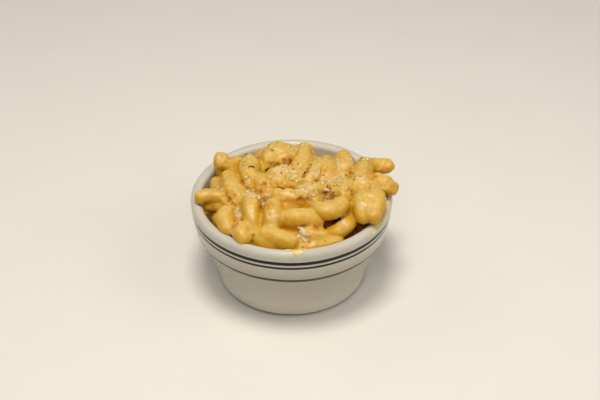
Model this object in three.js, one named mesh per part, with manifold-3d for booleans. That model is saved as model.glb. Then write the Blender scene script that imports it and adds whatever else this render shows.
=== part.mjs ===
// Macaroni and cheese heaped in its own thick china bowl.
// Millimetres, +Z up. The origin is the centre of the bowl's flat base.
// Two solids: the bowl, and the heap with its cheese crumbs fused on.

import * as THREE from 'three';
import { mergeVertices } from 'three/addons/utils/BufferGeometryUtils.js';
import Module from 'manifold-3d';

// Driving dimensions of the bowl
const rimRadius = 54.5;
const bowlHeight = 53.5;
const lipRadius = 2.9;
const baseRadius = 38.6;
const floorHeight = 6;
const collarRadius = 52.6;
const collarFoot = 35;
const bowlSides = 48;
const curveSteps = 4;

// Driving dimensions of the heap
const gap = 0.3;
const roomSides = 28;
const roomHeight = 90;
const coreSides = 18;
const coreRadius = 50;
const coreWallHeight = 42;
const coreCrown = 59;
const tubeSides = 8;
const tubeSteps = 4;
const lowerSides = 6;
const lowerSteps = 2;

// Elbows that show on top: two ends, the middle between them, and the radius with its sauce
const topElbows = [
  // left edge
  [[-47.5, -9, 57.5], [-42.5, -8.5, 57.5], [-36, -10, 56], 4.2],
  [[-43.5, -10, 51.5], [-40, -11.5, 52.5], [-36, -14, 53], 3.4],
  [[-40.5, 9, 52.5], [-39.5, 3, 53.5], [-37, -4.5, 53.5], 4.0],
  [[-34, 6, 58], [-31, -6, 59], [-26.5, -14, 57], 4.4],
  [[-34.5, -24.5, 56.5], [-34.5, -29, 55.2], [-32.8, -33, 53.8], 4.3],
  [[-31, -14, 53], [-29, -20.5, 53.5], [-28.5, -26, 52.5], 3.6],
  // left of the back edge
  [[-38.5, 21, 59.5], [-38, 20, 56], [-36.5, 19, 50], 4.1],
  [[-31, 24, 56], [-31.5, 20, 55], [-31.5, 16, 53], 4.0],
  [[-22.5, 15, 61], [-23, 8, 61], [-22.5, 2.5, 59.3], 5.1],
  [[-16, 31, 56.5], [-16.5, 25, 57], [-16, 18.5, 58], 3.7],
  // front edge
  [[-26, -36, 55.5], [-25.5, -39, 54.8], [-24.8, -41, 53.8], 4.2],
  [[-21, -19, 60], [-20.5, -26, 58.5], [-20.3, -31.5, 55.8], 4.6],
  [[-9.5, -26, 62], [-9.5, -31.5, 60.5], [-10, -35, 57], 4.6],
  [[-12.5, -40, 55], [-6.5, -43, 55], [-1.5, -44.5, 54], 4.4],
  [[-17.5, -39, 53.5], [-13.5, -42, 52.5], [-8.5, -43, 52], 4.2],
  [[0, -32.5, 59], [6, -32.5, 59.3], [11, -33, 57.5], 5.1],
  [[8, -39, 54], [11.5, -39.5, 54], [15, -38.5, 53], 4.0],
  [[7, -44, 49.5], [15, -43, 50], [23, -39.5, 49.5], 3.6],
  [[22, -36, 52], [25.5, -34.5, 53], [29.5, -30, 53], 4.4],
  [[14, -28, 61.5], [20, -29.5, 62], [26, -23, 61], 4.9],
  // right edge
  [[36.5, -17.5, 61.5], [36, -24, 60.5], [36.8, -28.5, 58.5], 4.6],
  [[44, -15, 60.5], [43.8, -22.5, 60], [42.6, -28, 58.3], 4.5],
  [[40, 13, 60.5], [37.5, 1, 61], [37, -7.5, 59.5], 4.4],
  [[43, 19, 57.5], [47, 18, 57.8], [52, 17.5, 58], 4.3],
  [[45, -0.5, 60], [49, -3, 60], [52, -4, 58.5], 4.3],
  [[43.5, 5.5, 55], [44.5, -1, 54.5], [44.5, -6, 54], 3.8],
  // crown
  [[28.5, 18.5, 61.5], [28, 10.5, 61], [26.5, 3, 60], 4.6],
  [[29, 1, 57], [28, -6, 60], [28, -13.5, 60], 4.3],
  [[19.5, 18.5, 59], [19.5, 12.5, 59], [19.5, 6, 58.5], 3.9],
  [[7.5, 27, 62], [6.5, 16, 63], [4, 8, 62.5], 4.3],
  [[14.5, 13, 60], [12, 6, 61], [9.5, -1.5, 61.5], 4.3],
  [[-11.5, 18, 61], [-9, 25, 62.5], [-3, 27, 61], 4.5],
  [[-8.5, 2.5, 61.5], [-3.5, 2, 62.5], [1.5, -0.5, 62], 4.5],
  [[-17, 1.5, 59.5], [-15, -5.5, 60.5], [-13, -12, 60.5], 4.0],
  [[-6.5, -17, 61.5], [-2, -17.5, 62], [3, -18, 61], 4.3],
  [[6.5, -9, 61], [9, -11.5, 61.5], [12.5, -11, 61], 4.2],
  [[18.5, -7.5, 59], [21.5, -8.5, 60], [24.5, -6, 59.5], 4.1],
];

// Elbows on the far side, behind the crown
const farElbows = [
  [[-27, 31, 48.5], [-23, 33, 49.5], [-18, 33.5, 49.5], 4.0],
  [[-14, 32.5, 54.5], [-8.5, 34.5, 55], [-3, 33, 54], 4.1],
  [[0, 30.5, 54.5], [4.5, 31.5, 54], [7.5, 34, 51.5], 4.0],
  [[14, 26, 51.5], [19, 27, 52], [24, 25, 51.5], 4.0],
  [[28, 26, 48], [32, 24, 49], [36, 20.5, 49], 4.1],
];

// Elbows of the layer below, in rings: ring radius, height and how many
const lowerRings = [
  { radius: 42.5, height: 48.5, count: 14 },
  { radius: 34, height: 54.5, count: 9 },
  { radius: 22, height: 57.5, count: 6 },
];
// How much lower the heap lies against the far wall, and how much higher the filling against the near one
const farFall = 9.5;
const nearRise = 10.5;
const lowerTube = 4.1;
const lowerLength = 13;
// Bearings, in degrees, where the lower layer leaves a dark hollow at the wall
const hollowBearings = [195, 306, 318];
const hollowWidth = 9;

// Clumps of thick sauce that fill gaps between elbows on the crown: centre and radius
const clumps = [
  [1.5, 29, 55.5, 5], [-3, 21, 56, 5], [15.5, 6, 57, 5], [-23, -3, 55, 5], [-12, 1, 57, 5],
  [4.5, -16, 56.5, 5], [10, -16, 57, 5], [-16.5, 14, 56.5, 5], [-19, 21, 55, 5], [-28, 10, 55, 5],
  [-32.5, -13, 53.5, 5], [21.5, -2, 57.5, 4.5], [33, 4, 56.5, 5.5], [34, -12.5, 56, 5.5], [11, 19, 57, 5],
];

// The hollows themselves: centre and radius
const hollows = [
  [-43, -18, 50, 8],
  [20, -26, 50, 8],
  [34.5, -29, 50, 8.5],
];

// Crumbs of white cheese on the heap: place, length and bearing
const cheeseCrumbs = [
  [-8, 12, 4.5, 10], [-1, 9, 4.5, -20], [-23, -7, 4.5, 15], [-17, -18, 4, 0],
  [5.5, -40, 5, 100], [4, -38, 4, 60], [7, -42, 4, 130], [-28, -22, 3, 80],
  [19.5, -8, 3, 90], [4, -5, 3, 10], [13, -15, 3, 110], [25, 9, 3.5, 80],
  [13, 4, 3, 30], [33, 3, 3, 90],
];
const crumbThickness = 1.7;

let seed = 417;
function random() {
  seed = (seed * 16807) % 2147483647;
  return seed / 2147483647;
}

const wasm = await Module();
wasm.setup();

function toSolid(geometry) {
  geometry.deleteAttribute('normal');
  geometry.deleteAttribute('uv');
  const merged = mergeVertices(geometry, 1e-4);
  const vertProperties = new Float32Array(merged.attributes.position.array);
  const triVerts = new Uint32Array(merged.index.array);
  return new wasm.Manifold(new wasm.Mesh({ numProp: 3, vertProperties, triVerts }));
}

function toGeometry(solid) {
  const mesh = solid.getMesh();
  const geometry = new THREE.BufferGeometry();
  geometry.setAttribute('position', new THREE.BufferAttribute(mesh.vertProperties, 3));
  geometry.setIndex(new THREE.BufferAttribute(mesh.triVerts, 1));
  geometry.computeVertexNormals();
  return geometry;
}

// Turns a profile of radius and height about the vertical axis
function turned(profile, sides) {
  return new THREE.LatheGeometry(profile, sides).rotateX(Math.PI / 2);
}

// The bowl's outside, from the middle of its base up to the lip's outermost point
function outsideOfBowl() {
  const path = new THREE.Path();
  path.moveTo(0, 0);
  path.lineTo(baseRadius, 0);
  path.quadraticCurveTo(41.1, 0, 41.5, 4);
  path.bezierCurveTo(42.3, 12, 46.5, 25, collarRadius, collarFoot);
  path.lineTo(54, 44.2);
  path.lineTo(rimRadius, bowlHeight - lipRadius);
  return path.getPoints(curveSteps);
}

// The lip and the inside, from the lip's outermost point down to the middle of the floor
function insideOfBowl() {
  const path = new THREE.Path();
  const lipCentre = rimRadius - lipRadius;
  const lipLevel = bowlHeight - lipRadius;
  path.moveTo(rimRadius, lipLevel);
  path.absarc(lipCentre, lipLevel, lipRadius, 0, Math.PI);
  path.bezierCurveTo(49, 38, 43.5, 26, 38.6, 13);
  path.quadraticCurveTo(36.5, 7, 33, floorHeight + 0.4);
  path.lineTo(0, floorHeight);
  return path.getPoints(curveSteps);
}

function makeBowl() {
  const profile = [...outsideOfBowl(), ...insideOfBowl().slice(1)];
  return toGeometry(toSolid(turned(profile, bowlSides)));
}

// The space that food can take: inside the bowl, over its lip and above it, clear by the gap
function roomForFood() {
  const inside = insideOfBowl();
  const clear = inside.map((point, i) => {
    const before = inside[Math.max(i - 1, 0)];
    const after = inside[Math.min(i + 1, inside.length - 1)];
    const along = after.clone().sub(before).normalize();
    return new THREE.Vector2(point.x + along.y * gap, point.y - along.x * gap);
  });
  clear[clear.length - 1].x = 0;
  const beyond = rimRadius * 1.5;
  const profile = clear.reverse();
  profile.push(new THREE.Vector2(beyond, bowlHeight - lipRadius));
  profile.push(new THREE.Vector2(beyond, roomHeight));
  profile.push(new THREE.Vector2(0, roomHeight));
  return toSolid(turned(profile, roomSides));
}

// The heap falls away towards the far wall
function fallAt(y) {
  return (farFall * Math.max(y, 0)) / rimRadius;
}

// The filling stands higher towards the near wall
function riseAt(x, y) {
  return (nearRise * Math.max(-y, 0) * Math.hypot(x, y)) / rimRadius ** 2;
}

// The sauce and buried pasta that fill the bowl, domed on top
function makeCore() {
  const path = new THREE.Path();
  path.moveTo(0, 0);
  path.lineTo(coreRadius, 0);
  path.lineTo(coreRadius, coreWallHeight);
  path.lineTo(44, coreWallHeight + 1);
  path.bezierCurveTo(40, 50, 34, coreCrown, 0, coreCrown);
  const core = turned(path.getPoints(curveSteps), coreSides);
  const position = core.attributes.position;
  for (let i = 0; i < position.count; i++) {
    const [x, y, z] = [position.getX(i), position.getY(i), position.getZ(i)];
    position.setZ(i, z - fallAt(y) + (z < coreWallHeight ? 0 : riseAt(x, y)));
  }
  const hollowed = hollows.reduce((filling, hollow) => filling.subtract(ball(hollow, 1)), toSolid(core));
  return clumps.reduce((filling, clump) => filling.add(ball(clump, 0)), hollowed);
}

function ball([x, y, z, radius], detail) {
  return toSolid(new THREE.IcosahedronGeometry(radius, detail).translate(x, y, z));
}

// A curve through an elbow's two ends and its middle
function elbowCurve(from, middle, to) {
  const [a, m, b] = [from, middle, to].map((p) => new THREE.Vector3(...p));
  const control = m.clone().multiplyScalar(2).addScaledVector(a, -0.5).addScaledVector(b, -0.5);
  return new THREE.QuadraticBezierCurve3(a, control, b);
}

// A round-ended tube bent along the curve
function elbow([from, middle, to, radius], sides, steps) {
  const curve = elbowCurve(from, middle, to);
  const half = 10;
  const capsule = new THREE.CapsuleGeometry(radius, 2 * half, 2, sides, steps);
  const start = curve.v0;
  const across = new THREE.Vector3().crossVectors(curve.v1.clone().sub(start), curve.v2.clone().sub(start));
  if (across.lengthSq() < 1e-6) {
    across.set(0, 0, 1);
  }
  across.normalize();
  const position = capsule.attributes.position;
  const vertex = new THREE.Vector3();
  for (let i = 0; i < position.count; i++) {
    vertex.fromBufferAttribute(position, i);
    const onAxis = THREE.MathUtils.clamp(vertex.y, -half, half);
    const t = onAxis / (2 * half) + 0.5;
    const tangent = curve.getTangent(t);
    const side = new THREE.Vector3().crossVectors(tangent, across).normalize();
    const up = new THREE.Vector3().crossVectors(side, tangent);
    const placed = curve.getPoint(t);
    placed.addScaledVector(tangent, vertex.y - onAxis);
    placed.addScaledVector(side, vertex.x);
    placed.addScaledVector(up, vertex.z);
    position.setXYZ(i, placed.x, placed.y, placed.z);
  }
  return toSolid(capsule);
}

function nearHollow(bearing) {
  return hollowBearings.some((hollow) => Math.abs(((bearing - hollow + 540) % 360) - 180) < hollowWidth);
}

// One elbow of the layer below: laid along its ring, turned and lifted a little
function lowerElbow(ring, bearing) {
  const angle = THREE.MathUtils.degToRad(bearing);
  const heading = angle + Math.PI / 2 + (random() - 0.5) * 1.2;
  const lift = (random() - 0.5) * 2;
  const bow = 1.5 + 1.5 * random();
  const x = ring.radius * Math.cos(angle);
  const y = ring.radius * Math.sin(angle);
  const z = ring.height + lift - fallAt(y);
  const dx = (Math.cos(heading) * lowerLength) / 2;
  const dy = (Math.sin(heading) * lowerLength) / 2;
  const inward = 1 - bow / ring.radius;
  return [
    [(x - dx) * inward, (y - dy) * inward, z - bow / 2],
    [x, y, z],
    [(x + dx) * inward, (y + dy) * inward, z - bow / 2],
    lowerTube,
  ];
}

function lowerElbows() {
  const elbows = [];
  for (const ring of lowerRings) {
    for (let i = 0; i < ring.count; i++) {
      const bearing = (360 * (i + 0.5 * random())) / ring.count;
      const piece = lowerElbow(ring, bearing);
      if (!nearHollow(bearing)) {
        elbows.push(piece);
      }
    }
  }
  return elbows;
}

// Height of the elbows' upper side above a place
function surfaceAt(x, y, elbows) {
  let top = coreWallHeight;
  for (const [from, middle, to, radius] of elbows) {
    for (const point of elbowCurve(from, middle, to).getPoints(12)) {
      const reach = radius ** 2 - (point.x - x) ** 2 - (point.y - y) ** 2;
      if (reach > 0) {
        top = Math.max(top, point.z + Math.sqrt(reach));
      }
    }
  }
  return top;
}

function cheeseCrumb([x, y, length, bearing], elbows) {
  const crumb = new THREE.IcosahedronGeometry(1, 0);
  crumb.scale(length / 2, crumbThickness / 2, crumbThickness / 2);
  crumb.rotateZ(THREE.MathUtils.degToRad(bearing));
  crumb.translate(x, y, surfaceAt(x, y, elbows) + crumbThickness / 5);
  return toSolid(crumb);
}

// Loose scraps that touch nothing are dropped
function largestPiece(solid) {
  return solid.decompose().reduce((best, piece) => (piece.volume() > best.volume() ? piece : best));
}

function makeHeap() {
  let heap = makeCore();
  for (const piece of [...lowerElbows(), ...farElbows]) {
    heap = heap.add(elbow(piece, lowerSides, lowerSteps));
  }
  for (const piece of topElbows) {
    heap = heap.add(elbow(piece, tubeSides, tubeSteps));
  }
  for (const crumb of cheeseCrumbs) {
    heap = heap.add(cheeseCrumb(crumb, topElbows));
  }
  return toGeometry(largestPiece(heap.intersect(roomForFood())));
}

function mesh(name, geometry, material) {
  const piece = new THREE.Mesh(geometry, material);
  piece.name = name;
  return piece;
}

const china = new THREE.MeshStandardMaterial({ color: 0xe9e5da, roughness: 0.15, metalness: 0 });
const cheesyPasta = new THREE.MeshStandardMaterial({ color: 0xdeab55, roughness: 0.4, metalness: 0 });

const dish = new THREE.Group();
dish.add(mesh('bowl', makeBowl(), china));
dish.add(mesh('macaroni', makeHeap(), cheesyPasta));

export default dish;
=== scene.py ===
# Macaroni and cheese heaped in its own thick china bowl: the looks.
# Metres, in the CAD frame: the origin is the centre of the bowl's base, +Z is up.

import random
from math import cos, hypot, pi, radians, sin, sqrt

import bmesh
import bpy
import numpy as np
from mathutils import Matrix, Vector
from mathutils.bvhtree import BVHTree
from mathutils.noise import noise


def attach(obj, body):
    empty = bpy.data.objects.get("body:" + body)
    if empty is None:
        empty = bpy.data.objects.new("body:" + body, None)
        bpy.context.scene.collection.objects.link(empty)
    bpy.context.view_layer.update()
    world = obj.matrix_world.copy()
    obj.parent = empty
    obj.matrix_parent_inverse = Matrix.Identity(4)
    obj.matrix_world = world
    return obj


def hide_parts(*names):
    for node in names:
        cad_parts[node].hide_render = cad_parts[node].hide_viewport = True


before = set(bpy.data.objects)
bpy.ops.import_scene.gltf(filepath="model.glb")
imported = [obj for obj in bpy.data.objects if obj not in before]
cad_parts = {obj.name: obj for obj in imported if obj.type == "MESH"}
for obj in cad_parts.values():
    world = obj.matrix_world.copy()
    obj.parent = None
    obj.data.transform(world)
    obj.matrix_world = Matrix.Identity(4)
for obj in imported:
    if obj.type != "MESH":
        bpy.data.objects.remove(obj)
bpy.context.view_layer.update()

MM = 0.001


def new_object(name, data):
    """An object linked to the scene."""
    made = bpy.data.objects.new(name, data)
    bpy.context.scene.collection.objects.link(made)
    return made


# ---- camera

image_width, image_height = 600, 400
focal_pixels = 1100.0
sensor_width = 36.0
camera_place = Vector((2.64, -485.23, 395.92)) * MM
camera_forward = Vector((0.00317, 0.81265, -0.58274)).normalized()
camera_right = Vector((0.99998, -0.00548, -0.0022)).normalized()
camera_up = camera_right.cross(camera_forward)


def make_camera():
    data = bpy.data.cameras.new("camera")
    data.sensor_width = sensor_width
    data.lens = sensor_width * focal_pixels / image_width
    camera = new_object("camera", data)
    turn = Matrix((camera_right, camera_up, -camera_forward)).transposed()
    camera.matrix_world = Matrix.Translation(camera_place) @ turn.to_4x4()
    bpy.context.scene.camera = camera


def sight(px, py):
    """Direction from the camera through a point of the image."""
    across = (px - image_width / 2) / focal_pixels
    down = (py - image_height / 2) / focal_pixels
    return (camera_forward + camera_right * across - camera_up * down).normalized()


make_camera()

# ---- sizes, in millimetres

rim_radius = 54.5
bowl_height = 53.5
lip_radius = 2.9
base_radius = 38.6
floor_height = 6
collar_radius = 52.6
collar_foot = 35
inner_wall = [(48.7, 50.6), (49, 38), (43.5, 26), (38.6, 13)]
floor_corner = [(38.6, 13), (36.5, 7), (33, floor_height + 0.4)]
lip_centre = rim_radius - lip_radius
lip_level = bowl_height - lip_radius
bowl_sides = 144
lip_steps = 18
# How far the bowl's wall strays from true, over about this length
wall_sway, sway_length = 0.12, 38

# The space that the heap keeps to the bowl, and that the scraps on it keep
gap = 0.3
scrap_gap = 0.1
# The heap's core: its height at the wall and in the middle, how far it falls towards the far wall and rises
# towards the near one, the top of the filling under it, and a height above everything
core_wall_height = 42
core_crown = 59
far_fall = 9.5
near_rise = 10.5
filling_top = 34
above_heap = 90

# Elbows that show on top: one end, the middle, the other end, the radius, and how each end looks:
# c is closed with sauce, d is dimpled and o is open
top_elbows = [
    # left edge
    [(-47.5, -9, 56.8), (-42.5, -8.5, 56.8), (-36, -10, 55.8), 4.1, "cc"],
    [(-43.5, -10, 51.5), (-40, -11.5, 52.5), (-36, -14, 53), 3.4, "cc"],
    [(-40.5, 9, 52.5), (-39.5, 3, 53.5), (-37, -4.5, 53.5), 4, "cc"],
    [(-34, 6, 58), (-31, -6, 59), (-26.5, -14, 57), 4.4, "oc"],
    [(-34.5, -24.5, 56.5), (-34.5, -29, 55.2), (-32.8, -33, 53.8), 4.3, "cc"],
    [(-31, -14, 53), (-29, -20.5, 53.5), (-28.5, -26, 52.5), 3.6, "cc"],
    # left, further back
    [(-38.5, 21, 59.5), (-38, 20, 56), (-36.5, 19, 50), 4.1, "dc"],
    [(-31, 24, 56), (-31.5, 20, 55), (-31.5, 16, 53), 4, "oc"],
    [(-22.5, 15, 61), (-23, 8, 61), (-22.5, 2.5, 59.3), 5.1, "oc"],
    [(-16, 31, 56.5), (-16.5, 25, 57), (-16, 18.5, 58), 3.7, "oc"],
    # front edge
    [(-26, -36, 55.5), (-25.5, -39, 54.8), (-24.8, -41, 53.8), 4.2, "cc"],
    [(-21, -19, 60), (-20.5, -26, 58.5), (-20.3, -31.5, 55.8), 4.6, "oc"],
    [(-9.5, -26, 62), (-9.5, -31.5, 60.5), (-10, -35, 57), 4.6, "cc"],
    [(-12.5, -40, 55), (-6.5, -43, 55), (-1.5, -44.5, 54), 4.4, "cc"],
    [(-17.5, -39, 53.5), (-13.5, -42, 52.5), (-8.5, -43, 52), 4.2, "cc"],
    [(0, -32.5, 59), (6, -32.5, 59.3), (11, -33, 57.5), 5.1, "cc"],
    [(8, -39, 54), (11.5, -39.5, 54), (15, -38.5, 53), 4, "cc"],
    [(7, -44, 49.5), (15, -43, 50), (23, -39.5, 49.5), 3.6, "cc"],
    [(21, -35.5, 51.8), (25.5, -33.8, 53.4), (30, -29, 54), 4.4, "cc"],
    [(14, -28, 61.5), (20, -29.5, 62), (26, -23, 61), 4.9, "cc"],
    # right edge
    [(36.5, -17.5, 61.5), (36, -24, 60.5), (36.8, -28.5, 58.5), 4.6, "dc"],
    [(44, -15, 60.5), (43.8, -22.5, 60), (42.6, -28, 58.3), 4.5, "cc"],
    [(40, 13, 60.5), (37.5, 1, 61), (37, -7.5, 59.5), 4.4, "oc"],
    [(43, 19, 57.2), (47, 18, 57.5), (51.3, 17.5, 57.6), 4.2, "cc"],
    [(45, -0.5, 60), (49, -3, 60), (52, -4, 58.5), 4.3, "cc"],
    [(43.5, 5.5, 55), (44.5, -1, 54.5), (44.5, -6, 54), 3.8, "cc"],
    # crown
    [(28.5, 18.5, 61.5), (28, 10.5, 61), (26.5, 3, 60), 4.6, "oc"],
    [(29, 1, 57), (28, -6, 60), (28, -13.5, 60), 4.3, "cc"],
    [(19.5, 18.5, 59), (19.5, 12.5, 59), (19.5, 6, 58.5), 3.9, "oc"],
    [(7.5, 27, 62), (6.5, 16, 63), (4, 8, 62.5), 4.3, "oc"],
    [(14.5, 13, 60), (12, 6, 61), (9.5, -1.5, 61.5), 4.3, "oc"],
    [(-11.5, 18, 61), (-9, 25, 62.5), (-3, 27, 61), 4.5, "dc"],
    [(-8.5, 2.5, 61.5), (-3.5, 2, 62.5), (1.5, -0.5, 62), 4.5, "cc"],
    [(-17, 1.5, 59.5), (-15, -5.5, 60.5), (-13, -12, 60.5), 4, "oc"],
    [(-6.5, -17, 61.5), (-2, -17.5, 62), (3, -18, 61), 4.3, "cc"],
    [(6.5, -9, 61), (9, -11.5, 61.5), (12.5, -11, 61), 4.2, "dc"],
    [(18.5, -7.5, 59), (21.5, -8.5, 60), (24.5, -6, 59.5), 4.1, "cc"],
    # far side
    [(-27, 31, 48.5), (-23, 33, 49.5), (-18, 33.5, 49.5), 4, "oc"],
    [(-14, 32.5, 54.5), (-8.5, 34.5, 55), (-3, 33, 54), 4.1, "co"],
    [(0, 30.5, 54.5), (4.5, 31.5, 54), (7.5, 34, 51.5), 4, "cc"],
    [(14, 26, 51.5), (19, 27, 52), (24, 25, 51.5), 4, "oc"],
    [(28, 26, 48), (32, 24, 49), (36, 20.5, 49), 4.1, "co"],
]

# Clumps of thick sauce that fill gaps and level dips between the elbows: centre and radius
clumps = [
    (1.5, 29, 55.5, 5), (-3, 21, 56, 5), (15.5, 6, 57, 5), (-23, -3, 55, 5), (-12, 1, 57, 5),
    (4.5, -16, 56.5, 5), (10, -16, 57, 5), (-16.5, 14, 56.5, 5), (-19, 21, 55, 5), (-28, 10, 55, 5),
    (-32.5, -13, 53.5, 5), (21.5, -2, 57.5, 4.5), (33, 4, 56.5, 5.5), (34, -12.5, 56, 5.5), (11, 19, 57, 5),
    (-7, -3, 59.5, 4.5), (-1, -2.5, 60, 4.5), (0.5, 23, 60, 5), (30, -23, 57, 3.5), (40, -20, 61.2, 4.2),
    (39.6, -25, 61, 4.3), (39.6, -28.6, 59, 4.2), (41, -7, 58.8, 4.6), (-5.5, 20, 60.6, 5),
]

# Hollows between the elbows: centre and radius. Painted shade darkens them below a level, over a depth, and
# this far out
hollows = [((-43, -18, 50), 8), ((20, -26, 50), 8), ((34.5, -29, 50), 7.6)]
hollow_level, hollow_fade, hollow_margin = 54, 3, 2

# Crumbs of white cheese fused to the heap: place, length and bearing
cheese_crumbs = [
    (-8, 12, 4.5, 10), (-1, 9, 4.5, -20), (-23, -10, 4.5, 15), (-17, -18, 4, 0),
    (5.5, -40, 5, 100), (4, -38, 4, 60), (7, -42, 4, 130), (-28, -22, 3, 80),
    (19.5, -8, 3, 90), (4, -5, 3, 10), (13, -15, 3, 110), (25, 9, 3.5, 80),
    (13, 4, 3, 30), (33, 3, 3, 90),
]
# More of them, placed by a point of the image: x, y and length in millimetres
seen_cheese = [
    (291, 171, 3.2), (284, 168, 2.2), (252, 196, 3), (263, 203, 2.4), (301, 232, 2.8), (304, 240, 3),
    (298, 237, 2.2), (240, 217, 2.4), (236, 213, 1.8), (327, 190, 2.2), (333, 191, 1.8), (300, 187, 2.2),
    (306, 187, 2), (345, 170, 1.6), (338, 178, 1.6), (319, 172, 1.6), (243, 168, 1.6),
]
# Dark green flecks of herb: x, y in the image, length and bearing on the surface
seen_herbs = [
    (246.5, 153.5, 2, 20), (251.5, 167, 3, 10), (267.5, 169, 3, 60), (293.5, 169.5, 1.4, 0),
    (280, 187.5, 3.2, -25), (283, 189, 2.2, -25), (311, 165, 2.6, 60), (316, 180, 1.4, 0),
    (308, 169, 2.4, 60), (305, 173, 2.4, 65), (327.5, 187, 1.3, 90), (354.5, 180, 1.3, 30),
    (224, 171, 3.4, 85),
]
# Toasted crumbs: x, y in the image and length
seen_toasted = [
    (268.5, 141, 1.3), (277, 142.5, 1.2), (271.5, 149.5, 1.5), (325, 171, 1.4), (323, 175, 1.3),
    (334, 186, 1.5), (334, 194, 1.5), (240, 203, 1.5), (309, 242, 1.3), (317, 245, 1.2),
    (325, 241, 1.4), (303, 247, 1.2), (312, 150, 1.8),
]
# Browned places, partly painted shade in creases; small pits between the lumps, painted dark with shade;
# and places pale with melted cheese, some of them painted highlights: x, y in the image and reach
browned_and_crease_shade = [
    (259, 157, 3.5), (311, 150, 3), (287, 160, 4), (262, 190, 4.5), (302, 182, 3), (270, 205, 3.5),
    (248, 186, 3), (330, 187, 3), (352, 172, 3.5), (300, 199, 3.5), (234, 226, 3.5), (316, 227, 3.5),
    (373, 176, 3), (230, 199, 3), (243, 178, 3), (290, 207, 3.5), (355, 192, 3.5), (214, 203, 3),
    (309, 168, 2.2), (306, 172, 2.2), (303.5, 176.5, 2.2), (356, 231, 4), (350, 234, 4),
]
pits = [
    (228.5, 198, 1.9), (229, 200, 1.5), (262, 184, 1.7), (265, 181.5, 1.5), (260, 191, 1.4),
    (301, 199, 1.8), (309, 199, 1.3), (261.5, 208, 1.4), (261, 211, 1.3), (237, 223, 1.5), (235, 226, 1.3),
    (253, 235.5, 1.3), (252.5, 238, 1.3), (252, 240.5, 1.2), (326, 193, 1.4), (326, 196, 1.3),
    (352.5, 193, 1.6), (351, 195, 1.3), (350, 172, 1.4), (252, 187.5, 1.4), (249, 188, 1.5),
    (246, 186.5, 1.4), (243.5, 184, 1.3), (242, 181.5, 1.2), (284, 160.5, 1.6), (287, 160, 1.4),
    (290, 160, 1.2), (315, 226, 1.2), (318, 228, 1.2), (206, 203.5, 1.3), (210, 201.5, 1.2),
    (232, 203, 1.3), (234, 205, 1.2), (298, 229, 1.6), (301, 227, 1.5), (304, 226, 1.3), (259, 157.5, 1.4),
    (376, 176, 1.1), (303.5, 176, 1.3), (306, 172, 1.2),
]
cream_and_highlight_spots = [
    (278, 170, 5), (292, 170, 4), (248, 194, 4.5), (262, 203, 3.5), (302, 236, 5), (315, 172, 6),
    (322, 180, 5), (335, 178, 5), (305, 190, 5), (328, 198, 5), (343, 165, 4), (295, 190, 4),
    (232, 232, 4), (238, 214, 3.5), (362, 205, 3.5), (383, 190, 3.5), (343, 221, 4.5), (250, 210, 3.5),
    (271, 215, 4.5), (279, 150, 3.5), (220, 160, 4), (364, 180, 4), (268, 196, 3.5),
]

# Smears of sauce on the lip: in degrees the bearing, the half width and from and to where round the lip's
# section, and the thickness
lip_smears = [
    (-86, 4.2, 40, 150, 0.35), (-83.5, 2, 95, 165, 0.5), (-92, 2.4, 110, 165, 0.3),
    (-18, 10, 50, 105, 0.35), (-27, 9, 10, 85, 0.4), (-36, 7, -10, 40, 0.25), (-20, 4, 100, 160, 0.3),
    (-172, 4.5, 120, 165, 0.12), (148, 3, 60, 120, 0.1),
]

# Elbows of the layer below, in rings: ring radius, height and how many. None lies near a hollow's bearing
lower_rings = [(42.5, 48.5, 14), (34, 54.5, 9), (22, 57.5, 6)]
lower_tube = 4.1
lower_length = 13
elbow_sides = 24
hollow_bearings = (195, 306, 318)
hollow_half_width = 9

# The coat of sauce: how far the core lies below the CAD's, how thick the coat on the elbows starts, its
# grain, how often it is smoothed, and how far it then swells: it draws in a little
core_drop = 0.7
sauce_thickness = 0.8
sauce_grain = 0.72
sauce_smooth = 5
sauce_swell = -0.42
# On the crown: how much further it swells, how often it is smoothed again, and how high it stays lumpy
crown_swell = 0.6
crown_smooth = 14
heaps_end = 68.5
# Elbows this close to a hollow get no extra sauce, and a crease is looked for this far from a point
beside_hollow = 13
crease_reach = 6
pit_depth = 0.9

# The crown starts at this height and this far back and is full this much higher and further back. Round some
# places it starts further forward: x, half width and how much further
crown_level = 55
crown_rise = 4
crown_front = -27
crown_blend = 9
crown_bulges = [(40, 10, 11), (13, 14, 6)]


# ---- mesh helpers

def bezier(points, count):
    """Points along a Bezier curve of any degree, without its first one."""
    result = []
    for i in range(1, count + 1):
        t = i / count
        row = [np.array(p, dtype=float) for p in points]
        while len(row) > 1:
            row = [a * (1 - t) + b * t for a, b in zip(row, row[1:])]
        result.append(tuple(row[0]))
    return result


def lip_point(angle, away):
    """Radius and height at an angle round the lip's section, a distance away from its centre."""
    return (lip_centre + away * cos(angle), lip_level + away * sin(angle))


def inside_curve(count):
    """The bowl's inner wall from below the lip to the edge of its floor."""
    return bezier(inner_wall, count) + bezier(floor_corner, count // 2)


def lathe(profile, sides):
    """Vertices and faces of a profile of (radius, height) turned about Z, in metres."""
    vertices, faces, rings = [], [], []
    for radius, height in profile:
        if radius < 1e-6:
            rings.append([len(vertices)] * sides)
            vertices.append((0, 0, height * MM))
            continue
        rings.append(list(range(len(vertices), len(vertices) + sides)))
        for k in range(sides):
            angle = 2 * pi * k / sides
            vertices.append((radius * MM * cos(angle), radius * MM * sin(angle), height * MM))
    for low, high in zip(rings, rings[1:]):
        for k in range(sides):
            n = (k + 1) % sides
            face = list(dict.fromkeys([low[k], low[n], high[n], high[k]]))
            if len(face) > 2:
                faces.append(face)
    return vertices, faces


def joined(parts):
    """The vertices and faces of many parts as one part's."""
    vertices, faces = [], []
    for part_vertices, part_faces in parts:
        start = len(vertices)
        vertices += part_vertices
        faces += [[start + i for i in face] for face in part_faces]
    return vertices, faces


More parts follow.
